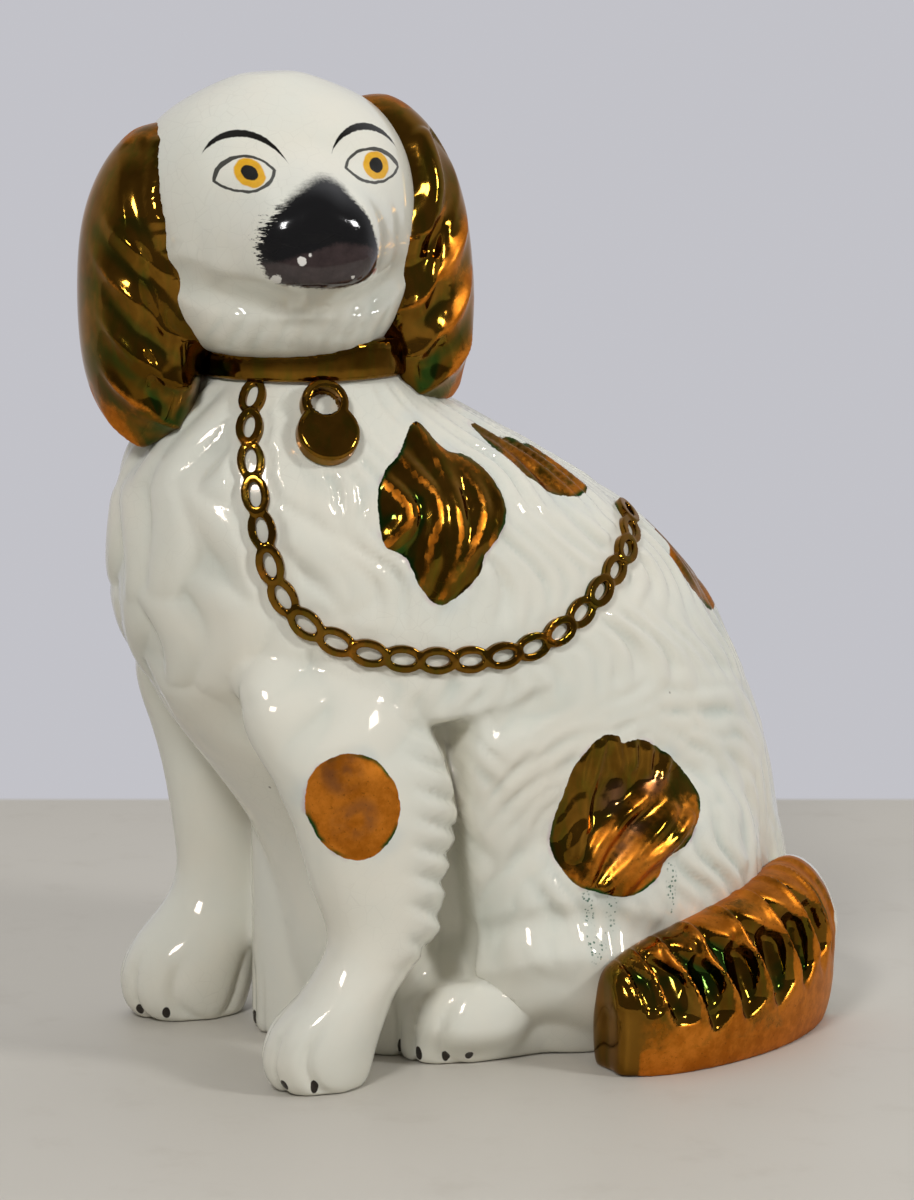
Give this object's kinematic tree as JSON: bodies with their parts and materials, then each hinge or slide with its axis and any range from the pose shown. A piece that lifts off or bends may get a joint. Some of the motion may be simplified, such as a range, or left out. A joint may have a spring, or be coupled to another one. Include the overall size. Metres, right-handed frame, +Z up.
{
  "type": "seated spaniel ornament",
  "caption": "Seated spaniel figure in hollow glazed earthenware, head turned to one flank, with lustred ears, tail, collar, padlock and relief chain, for standing on a shelf.",
  "frame": {"origin": "on the floor under the body, on the plane of the body seam", "axes": "+Z up, -X the way the body faces, -Y out of the left flank, which the face is turned to"},
  "size_m": [0.2494, 0.1608, 0.3024],
  "materials": {
    "white_glaze": "glossy lead glaze with fine crazing over off-white earthenware",
    "copper_lustre": "copper lustre over glaze, green in the hollows",
    "bare_clay": "unglazed biscuit"
  },
  "bodies": {
    "root": {"torso_left_half": "white_glaze", "torso_right_half": "white_glaze", "head_face_half": "white_glaze", "head_back_half": "white_glaze", "left_foreleg": "white_glaze", "right_foreleg": "white_glaze", "left_ear": "copper_lustre", "right_ear": "copper_lustre", "tail": "copper_lustre", "collar": "copper_lustre", "padlock": "copper_lustre", "chain": "copper_lustre", "torso_seam_strip": "bare_clay", "neck_seam_strip": "bare_clay", "head_seam_strip": "bare_clay", "base_slab": "bare_clay"}
  },
  "joints": []
}
